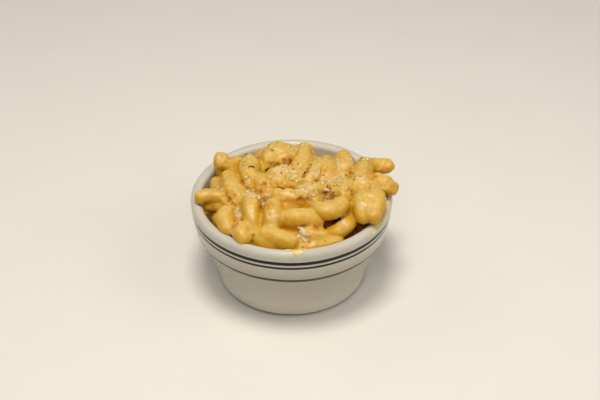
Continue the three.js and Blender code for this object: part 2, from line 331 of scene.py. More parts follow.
def add_piece(name, vertices, faces, material, slot, node=None):
    """A mesh object on the body, standing for a CAD node where one is named."""
    mesh = bpy.data.meshes.new(name)
    mesh.from_pydata([tuple(v) for v in vertices], [], faces)
    mesh.validate()
    mesh.materials.append(material)
    mesh.shade_smooth()
    piece = new_object(name, mesh)
    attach(piece, "root")
    if node:
        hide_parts(node)
    return piece


def settle(piece, *modifiers):
    """Gives a piece the mesh that modifiers, given as (kind, settings), make of its own."""
    for kind, settings in modifiers:
        modifier = piece.modifiers.new(kind, kind)
        for key, value in settings.items():
            setattr(modifier, key, value)
    seen = piece.evaluated_get(bpy.context.evaluated_depsgraph_get())
    piece.data = bpy.data.meshes.new_from_object(seen)
    piece.data.shade_smooth()
    piece.modifiers.clear()


def move_points(piece, places):
    piece.data.vertices.foreach_set("co", [c for place in places for c in place])
    piece.data.update()


def store(piece, name, values):
    """Gives each point of the piece a value that its material reads."""
    attribute = piece.data.attributes.new(name, "FLOAT", "POINT")
    attribute.data.foreach_set("value", values)


def tree_of(*pieces):
    """A search tree over the pieces' faces."""
    parts = [([v.co.copy() for v in piece.data.vertices], [list(p.vertices) for p in piece.data.polygons])
             for piece in pieces]
    return BVHTree.FromPolygons(*joined(parts))


def clamped(value):
    return min(max(value, 0), 1)


# ---- materials

# Colours, linear
china_light = (0.595, 0.57, 0.505)
china_warm = (0.555, 0.53, 0.46)
painted_inner_light = (0.655, 0.65, 0.59)
painted_collar_shade = (0.46, 0.425, 0.34)
painted_foot_light = (0.7, 0.66, 0.54)
band_green = (0.002, 0.006, 0.002)
line_brown = (0.03, 0.019, 0.008)
painted_contact_shadow = (0.03, 0.02, 0.01)
glaze_speck = (0.3, 0.26, 0.2)
pasta_gold = (0.685, 0.45, 0.1)
pasta_pale = (0.735, 0.525, 0.16)
pasta_deep = (0.67, 0.42, 0.08)
pasta_cream = (0.8, 0.64, 0.3)
pasta_toast = (0.72, 0.36, 0.05)
speck_brown = (0.38, 0.12, 0.02)
sauce_gold = (0.675, 0.44, 0.09)
sauce_pale = (0.735, 0.515, 0.15)
sauce_cream = (0.8, 0.63, 0.29)
sauce_blush = (0.66, 0.37, 0.04)
painted_crease_gold = (0.63, 0.35, 0.012)
painted_crease_brown = (0.51, 0.24, 0.004)
painted_hollow_shade = (0.21, 0.05, 0.002)
cream_and_painted_highlight = (0.84, 0.645, 0.37)
smear_gold = (0.75, 0.53, 0.2)
smear_pale = (0.83, 0.68, 0.38)
browned_and_shade_orange = (0.6, 0.28, 0.018)
painted_pit_shade = (0.36, 0.145, 0.001)

# Dark lines on the glaze, two green bands and a line at the collar's foot: height, half width and colour,
# with the softness of their edges
bands = [(47, 1.05, band_green), (43.9, 0.75, band_green), (34.1, 1.3, line_brown)]
band_soft = 0.2
# Ranges of height over which the glaze changes, and of the distance from the axis: painted shade under the
# collar, painted light towards the foot and on the inner wall above the food, and a painted contact shadow
# at the foot
body_darkens, collar_lightens = (5, 30), (34, 43)
foot_ends, foot_pale_ends = (0.9, 2.2), (4, 16)
food_ends = (40, 43)
inside_ends, outside_starts = (49.5, 51.3), (50.9, 51.3)
# The Principled shader's values, in the order that Look.finish gives them
shader_values = ("Base Color", "Roughness", "Specular IOR Level", "Coat Weight", "Coat Roughness",
                 "Subsurface Weight", "Subsurface Scale", "Subsurface Radius")


class Look:
    """A procedural material whose colour is built up in layers."""

    def __init__(self, name):
        self.material = bpy.data.materials.new(name)
        self.material.use_nodes = True
        self.tree = self.material.node_tree
        self.tree.nodes.clear()
        self.shader = self.node("BsdfPrincipled")
        self.node("OutputMaterial", {"Surface": self.shader.outputs[0]})
        metres = self.node("TexCoord").outputs["Object"]
        millimetres = {0: metres, 1: (1 / MM, 1 / MM, 1 / MM)}
        self.place = self.node("VectorMath", millimetres, operation="MULTIPLY").outputs[0]

    def node(self, kind, inputs=None, **settings):
        """A shader node with its settings. Each of its inputs is a socket to link or a value."""
        made = self.tree.nodes.new("ShaderNode" + kind)
        for key, value in settings.items():
            setattr(made, key, value)
        for key, value in (inputs or {}).items():
            self.feed(made, key, value)
        return made

    def feed(self, node, key, value):
        """Links a socket to a node's input, or sets the input to a value."""
        if isinstance(value, bpy.types.NodeSocket):
            self.tree.links.new(value, node.inputs[key])
        else:
            node.inputs[key].default_value = value

    def noise(self, scale, detail=2, roughness=0.5, distortion=0):
        """Noise whose scale is in waves per millimetre."""
        inputs = {"Vector": self.place, "Scale": scale, "Detail": detail, "Roughness": roughness}
        return self.node("TexNoise", inputs | {"Distortion": distortion}).outputs[0]

    def spread(self, source, low, high, out_low=0, out_high=1):
        """A value carried from one range to another, smoothly and clamped."""
        inputs = {"Value": source, "From Min": low, "From Max": high, "To Min": out_low, "To Max": out_high}
        return self.node("MapRange", inputs, interpolation_type="SMOOTHSTEP").outputs[0]

    def patches(self, span, *noise_values):
        """Noise carried over a span: from low and high to 0 and 1, or to the span's other two values."""
        return self.spread(self.noise(*noise_values), *span)

    def stored(self, name):
        """A value that store() gave the mesh."""
        return self.node("Attribute", attribute_name=name).outputs["Fac"]

    def total(self, first, second):
        return self.node("Math", {0: first, 1: second}, operation="ADD").outputs[0]

    def product(self, first, second):
        return self.node("Math", {0: first, 1: second}, operation="MULTIPLY").outputs[0]

    def start(self, factor, first, second):
        """The first colour, mixed from two colours, each a tuple or a socket."""
        first, second = ((*c, 1) if isinstance(c, tuple) else c for c in (first, second))
        inputs = {0: factor, 6: first, 7: second}
        self.colour = self.node("Mix", inputs, data_type="RGBA").outputs[2]

    def layer(self, factor, colour):
        """Lays a colour over the colour so far, as much as the factor says."""
        self.start(factor, self.colour, colour)

    def bump(self, height, distance, strength=1):
        """Relief of a height from 0 to 1, distance in millimetres."""
        inputs = {"Height": height, "Distance": distance * MM, "Strength": strength}
        self.feed(self.shader, "Normal", self.node("Bump", inputs).outputs[0])

    def finish(self, roughness, specular, coat=(0, 0), scatter=(0,)):
        """Sets the shader: a coat has a weight and roughness, scattering a weight, a scale and radii."""
        values = (self.colour, roughness, specular, *coat, *scatter)
        for key, value in zip(shader_values, values):
            self.feed(self.shader, key, value)
        return self.material


def make_glaze():
    """White glazed china: green bands under the lip, a line at the collar's foot, painted shade under the
    collar, painted light at the foot and inside, and a painted contact shadow at the foot.
    """
    look = Look("glazed_china")
    upright = look.node("SeparateXYZ", {0: look.place}).outputs[2]
    height = look.total(upright, look.patches((0.3, 0.7, -0.12, 0.12), 0.03))
    flat = look.node("VectorMath", {0: look.place, 1: (1, 1, 0)}, operation="MULTIPLY").outputs[0]
    reach = look.node("VectorMath", {0: flat}, operation="LENGTH").outputs[1]
    outside = look.spread(reach, *outside_starts)
    look.start(look.patches((0.3, 0.7), 0.05, 3), china_light, china_warm)
    # Painted shade: darkest on the body just under the collar, fading towards the foot and up the collar
    below_collar = look.spread(height, *collar_lightens, 1, 0)
    look.layer(look.product(look.spread(height, *body_darkens), below_collar), painted_collar_shade)
    # Painted light: the body paler towards the foot, where light thrown up off the ground falls
    look.layer(look.spread(height, *foot_pale_ends, 0.7, 0), painted_foot_light)
    # Painted light: the inner wall above the food paler, against the shade that falls inside the bowl
    inside = look.spread(reach, *inside_ends, 1, 0)
    look.layer(look.product(look.spread(height, *food_ends), inside), painted_inner_light)
    for middle, half, colour in bands:
        above = look.spread(height, middle - half - band_soft, middle - half + band_soft)
        below = look.spread(height, middle + half - band_soft, middle + half + band_soft, 1, 0)
        look.layer(look.product(look.product(above, below), outside), colour)
    # Painted shadow: dark at the very foot, where the bowl meets the ground
    look.layer(look.spread(height, *foot_ends, 0.9, 0), painted_contact_shadow)
    look.layer(look.patches((0.8, 0.84, 0, 0.5), 1.6, 1), glaze_speck)
    look.bump(look.noise(0.18), 0.05)
    roughness = look.patches((0.3, 0.7, 0.1, 0.2), 0.12, 3)
    return look.finish(roughness, 0.2, coat=(0.08, 0.06))


def colour_creases(look):
    """Golden, then orange brown: painted shade where the food close by hides the sky, in creases and on
    undersides, where sauce also pools; then the marks stored on the mesh.
    """
    # Painted shade: golden, then orange brown, as the food close by hides more of the sky
    deep = look.total(look.stored("deep"), look.patches((0.3, 0.7, -0.08, 0.08), 0.4, 3, 0.6))
    look.layer(look.spread(deep, 0.06, 0.46), painted_crease_gold)
    look.layer(look.spread(deep, 0.45, 0.85, 0, 0.6), painted_crease_brown)
    # Painted shade: the hollows between the elbows dark brown
    look.layer(look.spread(look.stored("hollow"), 0, 0.16), painted_hollow_shade)
    # Pale places: partly melted cheese, partly painted highlights and painted light on the elbows' tops
    mottled = look.patches((0.3, 0.6), 0.5, 4, 0.6)
    look.layer(look.product(mottled, look.spread(look.stored("cream_and_highlight_spots"), 0, 0.8, 0, 0.75)), cream_and_painted_highlight)
    # Browned places: partly real browning, partly painted shade in creases and at the edges of dark gaps
    singed = look.patches((0.25, 0.6), 0.5, 4, 0.65)
    look.layer(look.product(singed, look.spread(look.stored("browned_and_crease_shade"), 0, 0.6)), browned_and_shade_orange)
    # Painted shade: the small pits dark brown, where shade falls in them
    look.layer(look.spread(look.stored("pits"), 0.05, 0.55, 0, 0.8), painted_pit_shade)


def make_pasta():
    """Cooked pasta under a thin coat of cheese sauce."""
    look = Look("sauced_pasta")
    look.start(look.patches((0.32, 0.68), 0.16, 4, 0.6), pasta_gold, pasta_pale)
    look.layer(look.spread(look.stored("tone"), 0, 1, 0, 0.45), pasta_deep)
    look.layer(look.patches((0.52, 0.72, 0, 0.5), 0.5, 5, 0.65, 0.6), pasta_cream)
    colour_creases(look)
    look.layer(look.patches((0.6, 0.78, 0, 0.2), 0.3, 3, 0.6), pasta_toast)
    dots = look.node("TexVoronoi", {"Vector": look.place, "Scale": 0.55, "Randomness": 1})
    specks = look.spread(dots.outputs["Distance"], 0.05, 0.13, 0.15, 0)
    look.layer(look.product(specks, look.patches((0.5, 0.62), 0.09, 1)), speck_brown)
    grain = look.product(look.noise(1.4, 3, 0.6), 0.35)
    look.bump(look.total(grain, look.noise(0.45, 3)), 0.22, 0.9)
    roughness = look.patches((0.3, 0.7, 0.34, 0.58), 0.35, 4, 0.6)
    return look.finish(roughness, 0.32, coat=(0.12, 0.2), scatter=(0.6, 0.003, (1, 0.5, 0.16)))


def make_sauce():
    """Thick glossy cheese sauce, deeper in colour between the elbows, where painted shade falls and the
    sauce pools.
    """
    look = Look("cheese_sauce")
    look.start(look.patches((0.3, 0.7), 0.2, 4, 0.6), sauce_gold, sauce_pale)
    look.layer(look.spread(look.stored("tone"), 0, 1, 0, 0.5), pasta_deep)
    look.layer(look.patches((0.52, 0.68, 0, 0.5), 0.55, 4, 0.65), sauce_cream)
    look.layer(look.patches((0.52, 0.72, 0, 0.6), 0.22, 4, 0.65), sauce_blush)
    colour_creases(look)
    grain = look.product(look.noise(1.6, 3, 0.6), 0.5)
    look.bump(look.total(grain, look.noise(0.6, 3)), 0.16, 0.8)
    roughness = look.patches((0.3, 0.7, 0.3, 0.55), 0.5, 3)
    return look.finish(roughness, 0.32, coat=(0.12, 0.18), scatter=(0.6, 0.003, (1, 0.45, 0.1)))


def make_crumbly(name, dark, light, scale, roughness, scatter):
    """Dry crumbs or flakes whose colour varies from one to the next."""
    look = Look(name)
    look.start(look.patches((0.3, 0.7), scale, 3, 0.6), dark, light)
    look.bump(look.noise(3, 3, 0.6), 0.15)
    return look.finish(roughness, 0.2, scatter=(scatter, 0.001, (1, 0.8, 0.5)))


def make_smear():
    """Thin sauce on the lip, gold and pale in patches."""
    look = Look("thin_sauce")
    look.start(look.patches((0.3, 0.7), 0.5, 4, 0.6), smear_gold, smear_pale)
    look.bump(look.noise(1.2, 3, 0.6), 0.12)
    return look.finish(0.32, 0.5, scatter=(0.5, 0.001, (1, 0.6, 0.25)))


glaze = make_glaze()
smear_shader = make_smear()
pasta = make_pasta()
sauce_shader = make_sauce()
white_cheese = make_crumbly("white_cheese", (0.8, 0.6, 0.31), (0.87, 0.75, 0.54), 0.6, 0.5, 0.4)
melted_cheese = make_crumbly("melted_cheese", (0.7, 0.44, 0.1), (0.8, 0.58, 0.24), 0.4, 0.45, 0.5)
toasted = make_crumbly("toasted_crumbs", (0.34, 0.15, 0.012), (0.66, 0.4, 0.07), 0.45, 0.65, 0.3)
herb = make_crumbly("green_herb", (0.06, 0.045, 0.001), (0.17, 0.135, 0.004), 0.5, 0.6, 0)


# ---- bowl

def bowl_profile():
    """From the middle of the underside out, up the outside, over the lip and down the inside."""
    recess = [(0, 1.3), (20, 1.3), (34.5, 1.2), (35.4, 0.9), (36, 0.25), (36.6, 0)]
    foot = (base_radius - 0.6, 0)
    body_foot = (41.5, 4)
    under_collar = (collar_radius - 0.35, collar_foot - 0.5)
    collar_edge = (collar_radius + 0.05, collar_foot + 0.3)
    collar_top = (54, 44.2)
    profile = recess + [foot] + bezier([foot, (41.1, 0), body_foot], 8)
    profile += bezier([body_foot, (42.3, 12), (46.5, 25), under_collar], 20)
    profile += bezier([under_collar, (collar_radius, collar_foot - 0.4), collar_edge], 4)
    profile += bezier([collar_edge, collar_top], 6)
    profile += bezier([collar_top, (rim_radius, lip_level)], 4)
    profile += [lip_point(pi * i / lip_steps, lip_radius) for i in range(1, lip_steps + 1)]
    profile += inside_curve(20)
    profile += [(20, floor_height + 0.1), (0, floor_height)]
    return profile


def make_bowl():
    vertices, faces = lathe(bowl_profile(), bowl_sides)
    made = []
    for x, y, z in vertices:
        radius = hypot(x, y)
        if radius > 0:
            sway = noise(Vector((x, y, z)) / (sway_length * MM)) * wall_sway * MM
            scale = (radius + sway) / radius
            x, y = x * scale, y * scale
        made.append((x, y, z))
    add_piece("china_bowl", made, faces, glaze, "china", "bowl")


make_bowl()


# ---- elbows

seed = 417
draw_factor, draw_prime = 16807, 2147483647


def draw():
    """The heap's own random draw, from 0 to 1."""
    global seed
    seed = (seed * draw_factor) % draw_prime
    return seed / draw_prime


def fall_at(y):
    """How far the heap falls away towards the far wall, in millimetres."""
    return far_fall * max(y, 0) / rim_radius


def near_hollow(bearing):
    return any(abs(((bearing - hollow + 540) % 360) - 180) < hollow_half_width for hollow in hollow_bearings)


def lower_elbow(ring_radius, ring_height, bearing):
    angle = radians(bearing)
    heading = angle + pi / 2 + (draw() - 0.5) * 1.2
    lift = (draw() - 0.5) * 2
    bow = 1.5 + 1.5 * draw()
    x = ring_radius * cos(angle)
    y = ring_radius * sin(angle)
    z = ring_height + lift - fall_at(y)
    dx = cos(heading) * lower_length / 2
    dy = sin(heading) * lower_length / 2
    inward = 1 - bow / ring_radius
    first, second = [((x + way * dx) * inward, (y + way * dy) * inward, z - bow / 2) for way in (-1, 1)]
    return [first, (x, y, z), second, lower_tube, "do"]


def lower_elbows():
    elbows = []
    for ring_radius, ring_height, count in lower_rings:
        for i in range(count):
            bearing = 360 * (i + 0.5 * draw()) / count
            piece = lower_elbow(ring_radius, ring_height, bearing)
            if not near_hollow(bearing):
                elbows.append(piece)
    return elbows


# Half profiles of an end, from the tube to the middle: shares of the radius outward and along
end_shapes = {
    "c": [(0.985, 0.2), (0.93, 0.42), (0.83, 0.62), (0.68, 0.79), (0.5, 0.91), (0.3, 0.98), (0.13, 1.0)],
    "d": [(0.985, 0.22), (0.94, 0.46), (0.85, 0.66), (0.72, 0.78), (0.56, 0.74), (0.38, 0.6), (0.18, 0.52)],
    "o": [(0.985, 0.25), (0.95, 0.5), (0.87, 0.66), (0.74, 0.7), (0.64, 0.6), (0.59, 0.35), (0.57, -0.2),
          (0.54, -0.8), (0.45, -1.15), (0.2, -1.25)],
}


def elbow_rings(first, middle, second, radius, ends, steps):
    """Centre, direction and radius of each ring along an elbow, from one end's middle to the other's."""
    a, m, b = Vector(first), Vector(middle), Vector(second)
    control = m * 2 - (a + b) / 2
    rings = []
    start = (control - a).normalized()
    for out, along in reversed(end_shapes[ends[0]]):
        rings.append((a - start * (along * radius), start, out * radius))
    for i in range(steps + 1):
        t = i / steps
        centre = a * (1 - t) ** 2 + control * (2 * t * (1 - t)) + b * t ** 2
        tangent = ((control - a) * (1 - t) + (b - control) * t).normalized()
        swell = 1 + 0.05 * sin(pi * t)
        rings.append((centre, tangent, radius * swell))
    finish = (b - control).normalized()
    for out, along in end_shapes[ends[1]]:
        rings.append((b + finish * (along * radius), finish, out * radius))
    return rings


def elbow_mesh(piece, number, steps, grow=0):
    """Vertices and faces of one elbow, in metres, its surface a little uneven."""
    first, middle, second, radius, ends = piece
    sides = elbow_sides
    rings = elbow_rings(first, middle, second, radius + grow, ends, steps)
    across = (Vector(middle) - Vector(first)).cross(Vector(second) - Vector(middle))
    if across.length < 1e-3:
        across = Vector((0, 0, 1)).cross(Vector(second) - Vector(first))
    across.normalize()
    flat = 0.94 + 0.05 * noise(Vector((number * 1.7, 3.1, 0.4)))
    vertices, faces = [], []
    apart = Vector((number * 31.7, number * 17.3, number * 11.9))
    for centre, tangent, reach in rings:
        side = tangent.cross(across).normalized()
        up = side.cross(tangent)
        for k in range(sides):
            angle = 2 * pi * k / sides
            outward = side * cos(angle) + up * (sin(angle) * flat)
            point = centre + outward * reach
            where = point + apart
            swell = 0.42 * noise(where * 0.16) + 0.13 * noise(where * 0.5)
            vertices.append((point + outward * swell) * MM)
    last = len(rings) - 1
    for i in range(last):
        for k in range(sides):
            n = (k + 1) % sides
            faces.append([i * sides + k, (i + 1) * sides + k, (i + 1) * sides + n, i * sides + n])
    for ring in (0, last):
        loop = range(ring * sides, (ring + 1) * sides)
        tip = len(vertices)
        vertices.append(sum((vertices[i] for i in loop), Vector()) / sides)
        for k in range(sides):
            n = (k + 1) % sides
            faces.append([loop[n], loop[k], tip] if ring else [loop[k], loop[n], tip])
    return vertices, faces


wall_heights, wall_radii = zip(*sorted((z, r) for r, z in inside_curve(40)))


def inner_radius(z):
    """Radius of the bowl's inner wall at a height, in millimetres, for heights below the lip's centre."""
    return float(np.interp(z, wall_heights, wall_radii))


def clear_of_bowl(point, space):
    """A point moved off the bowl's wall and lip so that it keeps the space, in millimetres."""
    x, y, z = point[0] / MM, point[1] / MM, point[2] / MM
    old = radius = hypot(x, y)
    if z >= lip_level:
        out, up = radius - lip_centre, z - lip_level
        away = hypot(out, up)
        need = lip_radius + space
        if 0 < away < need:
            radius = lip_centre + out * need / away
            z = lip_level + up * need / away
    else:
        radius = min(radius, inner_radius(z) - space)
        z = max(z, floor_height + space)
    if old > 0:
        x, y = x * radius / old, y * radius / old
    return Vector((x, y, z)) * MM


def make_elbows(elbows):
    """All the elbows as one mesh, each with its own tone from 0 to 1."""
    parts = [elbow_mesh(piece, number, 18) for number, piece in enumerate(elbows)]
    tones = []
    for number, part in enumerate(parts):
        tones += [(noise(Vector((number * 5.3, 0.7, 9.1))) + 1) / 2] * len(part[0])
    vertices, faces = joined(parts)
    vertices = [clear_of_bowl(place, gap) for place in vertices]
    made = add_piece("macaroni_elbows", vertices, faces, pasta, "cheesy_pasta", "macaroni")
    store(made, "tone", tones)
    return made


def rise_at(x, y):
    """How far the core rises towards the near wall, in millimetres."""
    return near_rise * max(-y, 0) * hypot(x, y) / rim_radius ** 2


def core_profile():
    """The core's underside, its side and its domed top, in millimetres."""
    shoulder = (44, core_wall_height + 1)
    profile = [(0, filling_top), (52, filling_top), (54.5, core_wall_height), shoulder]
    profile += bezier([shoulder, (40, 50), (34, core_crown), (0, core_crown)], 26)
    return [(radius, height - core_drop) for radius, height in profile]


def shaped_core(x, y, z):
    """A point of the core's profile, in metres, with the heap's slope and its hollows."""
    x, y, z = x / MM, y / MM, z / MM
    radius = hypot(x, y)
    if z > core_wall_height - core_drop - 1:
        z += rise_at(x, y) - fall_at(y)
        if radius > inner_radius(z) - gap:
            scale = (inner_radius(z) - gap) / radius
            x, y = x * scale, y * scale
        for (hollow_x, hollow_y, level), hollow_radius in hollows:
            depth = hollow_radius ** 2 - (x - hollow_x) ** 2 - (y - hollow_y) ** 2
            if depth > 0:
                z = min(z, level - sqrt(depth))
    return Vector((x, y, z)) * MM


def make_sauce_body(elbows):
    """Sauce over everything: the core, the clumps and slightly thicker elbows, merged and smoothed."""
    core, core_faces = lathe(core_profile(), 96)
    parts = [([shaped_core(*place) for place in core], core_faces)]
    lumps = [[(x - 0.5, y, z), (x, y, z), (x + 0.5, y, z), radius] for x, y, z, radius in clumps]
    for number, piece in enumerate(elbows + lumps):
        beside = any((Vector(piece[1]) - Vector(centre)).length < beside_hollow for centre, _ in hollows)
        parts.append(elbow_mesh(piece[:4] + ["cc"], number, 16, 0 if beside else sauce_thickness))
    made = add_piece("cheese_sauce", *joined(parts), sauce_shader, "cheesy_pasta", "macaroni")
    settle(made,
           ("REMESH", {"mode": "VOXEL", "voxel_size": sauce_grain * MM}),
           ("SMOOTH", {"factor": 0.5, "iterations": sauce_smooth}))
    smother_crown(made)
    swollen = [v.co + v.normal * (sauce_cover(v.co / MM) * MM) for v in made.data.vertices]
    move_points(made, [clear_of_bowl(place, gap) for place in swollen])
    return made


def crown_share(place):
    """How much a place in millimetres belongs to the crown, where cheese smothers the elbows."""
    front = crown_front
    for x, half_width, further in crown_bulges:
        front -= further * max(1 - abs(place.x - x) / half_width, 0)
    return clamped((place.z - crown_level) / crown_rise) * clamped((place.y - front) / crown_blend)


def smother_crown(piece):
    """Melts the elbows on the crown together."""
    group = piece.vertex_groups.new(name="crown")
    for vertex in piece.data.vertices:
        share = crown_share(vertex.co / MM)
        if share > 0:
            group.add([vertex.index], share, "REPLACE")
    settle(piece, ("SMOOTH", {"factor": 0.5, "iterations": crown_smooth, "vertex_group": "crown"}))
    piece.vertex_groups.clear()


def mark_tone(piece, source):
    """Gives each point of the sauce the tone of the elbow under it."""
    tree = tree_of(source)
    tones = source.data.attributes["tone"].data
    corner = [p.vertices[0] for p in source.data.polygons]
    nearest = [tree.find_nearest(v.co)[2] for v in piece.data.vertices]
    store(piece, "tone", [tones[corner[i]].value for i in nearest])


def mark_hollows(piece, part):
    """Stores how far inside a hollow each point lies, times a part: how much painted shade it gets."""
    shares = []
    for vertex in piece.data.vertices:
        place = vertex.co / MM
        inside = max(1 - (place - Vector(centre)).length / (radius + hollow_margin)
                     for centre, radius in hollows)
        shares.append(max(inside, 0) * clamped((hollow_level - place.z) / hollow_fade) * part)
    store(piece, "hollow", shares)


def sky_directions():
    """Directions spread over the upper half of the sky."""
    sky = [Vector((0, 0, 1))]
    for count, degrees in ((5, 60), (6, 35), (7, 12)):
        elevation = radians(degrees)
        for i in range(count):
            turn = Matrix.Rotation(2 * pi * (i + 0.3) / count, 3, "Z")
            sky.append(turn @ Vector((cos(elevation), 0, sin(elevation))))
    return sky


def evened(mesh, values, passes):
    """Values at the mesh's points, each averaged with its neighbours'."""
    ends = np.empty(len(mesh.edges) * 2, dtype=int)
    mesh.edges.foreach_get("vertices", ends)
    here = np.concatenate((ends[0::2], ends[1::2]))
    there = np.concatenate((ends[1::2], ends[0::2]))
    values = np.array(values)
    share = 1 + np.bincount(here, minlength=len(values))
    for _ in range(passes):
        values = (values + np.bincount(here, values[there], len(values))) / share
    return values


def mark_depth(piece, around, clear):
    """Stores how much sky the food close by hides from each point: 0 on top, 1 deep in a crease."""
    sky = sky_directions()
    hidden = []
    for vertex in piece.data.vertices:
        start = vertex.co + vertex.normal * (clear * MM)
        shut = 0
        for direction in sky:
            if direction.dot(vertex.normal) <= 0 or around.ray_cast(start, direction, crease_reach * MM)[0]:
                shut += 1
        hidden.append(shut / len(sky))
    store(piece, "deep", evened(piece.data, hidden, 3))


def sauce_cover(place):
    """How far the sauce swells out at a place in millimetres: more, and in patches, over the crown."""
    crown = crown_share(place)
    patch = 0.5 + 0.5 * noise(place * 0.13)
    bare = 0.3 * noise(place * 0.11 + Vector((40, 0, 0)))
    lumps = 0.22 * noise(place * 0.4) + 0.15 * noise(place * 0.9)
    heaps = 0.9 * noise(place * 0.24 + Vector((0, 30, 0))) * clamped((heaps_end - place.z) / 4)
    return sauce_swell + bare + crown * (crown_swell * patch + 0.3 + heaps) + lumps * (0.5 + 1.6 * crown)


def make_buried_filling():
    """The pasta and sauce below the layer that shows, down to the bowl's floor."""
    wall = [(r - gap, z) for r, z in inside_curve(20) if z < filling_top + 1]
    profile = [(0, filling_top)] + wall + [(0, floor_height + gap)]
    vertices, faces = lathe(profile[::-1], 72)
    add_piece("buried_filling", vertices, faces, sauce_shader, "cheesy_pasta", "macaroni")


elbow_list = top_elbows + lower_elbows()
elbows = make_elbows(elbow_list)
sauce = make_sauce_body(elbow_list)
food = tree_of(elbows, sauce)
# The share of sky hidden by food close by: it sets the painted shade in creases and on undersides
mark_depth(elbows, food, 0.9)
mark_depth(sauce, food, 0.3)
mark_tone(sauce, elbows)
mark_hollows(elbows, 0.12)
mark_hollows(sauce, 1)
make_buried_filling()


# ---- toppings

dice = random.Random(23)


def food_hit(start, direction):
    """Place and normal of the food where a ray meets it, or None."""
    hit = food.ray_cast(start, direction)[:2]
    return hit if hit[0] else None


def seen_at(px, py):
    """What food_hit gives at a point of the image, or just below it where that misses the food."""
    return food_hit(camera_place, sight(px, py)) or seen_at(px, py + 1)


def under(x, y):
    """What food_hit gives straight below a point in millimetres."""
    return food_hit(Vector((x, y, above_heap)) * MM, Vector((0, 0, -1)))


def mark_spots(piece, name, spots):
    """Stores how near each point lies to the spots, 1 in their middle and 0 beyond their reach."""
    centres = [(seen_at(px, py)[0], reach * MM) for px, py, reach in spots]
    values = []
    for vertex in piece.data.vertices:
        ragged = 1 + 0.9 * noise(vertex.co * (0.4 / MM))
        share = max(1 - ragged * (vertex.co - centre).length / reach for centre, reach in centres)
        values.append(max(share, 0))
    store(piece, name, values)


def sink_pits(piece):
    """Presses the surface in at the pits."""
    mesh = piece.data
    shares = mesh.attributes["pits"].data
    move_points(piece, [v.co - v.normal * (pit_depth * MM * shares[v.index].value) for v in mesh.vertices])


def unit_ball(subdivisions):
    ball = bmesh.new()
    bmesh.ops.create_icosphere(ball, subdivisions=subdivisions, radius=1)
    vertices = [v.co.copy() for v in ball.verts]
    faces = [[v.index for v in f.verts] for f in ball.faces]
    ball.free()
    return vertices, faces


balls = {1: unit_ball(1), 2: unit_ball(2)}


def draped(hit, size, bearing, rough=0.25, bend=0, detail=2, sink=0.3):
    """A craggy scrap of a size in millimetres, draped over the food at a place."""
    place, normal = hit
    along = Vector((cos(bearing), sin(bearing), 0))
    along = (along - normal * along.dot(normal)).normalized()
    across = normal.cross(along)
    apart = Vector((dice.random(), dice.random(), dice.random())) * 90
    long, wide, thick = size
    vertices = []
    ball, faces = balls[detail]
    for point in ball:
        swell = 1 + rough * noise(point * 1.6 + apart) + 0.6 * rough * noise(point * 3.7 + apart)
        u, v, w = point.x * swell * long, point.y * swell * wide, point.z * swell * thick
        v += bend * (u * u / long)
        start = place + (along * u + across * v) * MM
        met = food.ray_cast(start + normal * (2.5 * MM), -normal, 5 * MM)[0]
        vertices.append((met or start) + normal * ((w + thick * (1 - 2 * sink)) * MM))
    return vertices, faces


def gather(name, scraps, material, node=None):
    """One mesh of all scraps of a kind."""
    vertices, faces = joined(scraps)
    vertices = [clear_of_bowl(place, scrap_gap) for place in vertices]
    add_piece(name, vertices, faces, material, "cheesy_pasta", node)


def any_bearing():
    return dice.uniform(0, 2 * pi)


def crumbled(hit, length, bearing):
    """A small heap of cheese crumbs, its length in millimetres."""
    along = Vector((cos(bearing), sin(bearing), 0))
    across = Vector((-along.y, along.x, 0))
    crumbs = []
    for _ in range(7):
        shift = along * dice.uniform(-0.42, 0.42) + across * dice.uniform(-0.22, 0.22)
        long = length * dice.uniform(0.12, 0.26)
        size = (long, long * dice.uniform(0.6, 0.9), long * 0.5)
        crumbs.append(draped((hit[0] + shift * (length * MM), hit[1]), size, any_bearing(), rough=0.4))
    return crumbs


def scattered(count, reach, nearest):
    """Random hits on upward-facing food behind a line, within a reach of the axis, in millimetres."""
    hits = []
    while len(hits) < count:
        x, y = dice.uniform(-reach, reach), dice.uniform(-reach, reach)
        if hypot(x, y) > reach or y < nearest:
            continue
        hit = under(x, y)
        if hit and hit[1].z > 0.35:
            hits.append(hit)
    return hits


def white_cheese_scraps():
    scraps = []
    for x, y, length, bearing in cheese_crumbs:
        scraps += crumbled(under(x, y), length, radians(bearing))
    for px, py, length in seen_cheese:
        scraps += crumbled(seen_at(px, py), length * 1.3, any_bearing())
    for hit in scattered(26, 44, -10):
        length = dice.uniform(1, 2.6)
        scraps.append(draped(hit, (length / 2, length * 0.35, length * 0.16), any_bearing(), rough=0.4))
    return scraps


def melted_scraps():
    """Shreds and curds of melted cheese, mostly on the crown."""
    scraps = []
    for hit in scattered(180, 45, -24):
        hiding = any((hit[0] - place).length < 2.2 * MM for place in left_clear)
        if hiding or dice.random() > 0.25 + 0.75 * crown_share(hit[0] / MM):
            continue
        if dice.random() < 0.12:
            length = dice.uniform(1.0, 2.2)
            scraps.append(draped(hit, (length, 0.32, 0.24), any_bearing(), 0.4, dice.uniform(-0.5, 0.5)))
        else:
            size = dice.uniform(0.6, 1.8)
            scraps.append(draped(hit, (size, size * 0.8, size * 0.22), any_bearing(), 0.6, sink=0.45))
    return scraps


def toasted_scraps():
    scraps = []
    for px, py, length in seen_toasted:
        size = (length / 2, length * 0.32, length * 0.22)
        scraps.append(draped(seen_at(px, py), size, any_bearing(), rough=0.6))
    for hit in scattered(26, 46, -22):
        if dice.random() < 0.2 + 0.5 * crown_share(hit[0] / MM):
            size = 0.45 + 0.6 * dice.random() ** 2
            scraps.append(draped(hit, (size, size * 0.8, size * 0.6), any_bearing(), rough=0.6, detail=1))
    return scraps


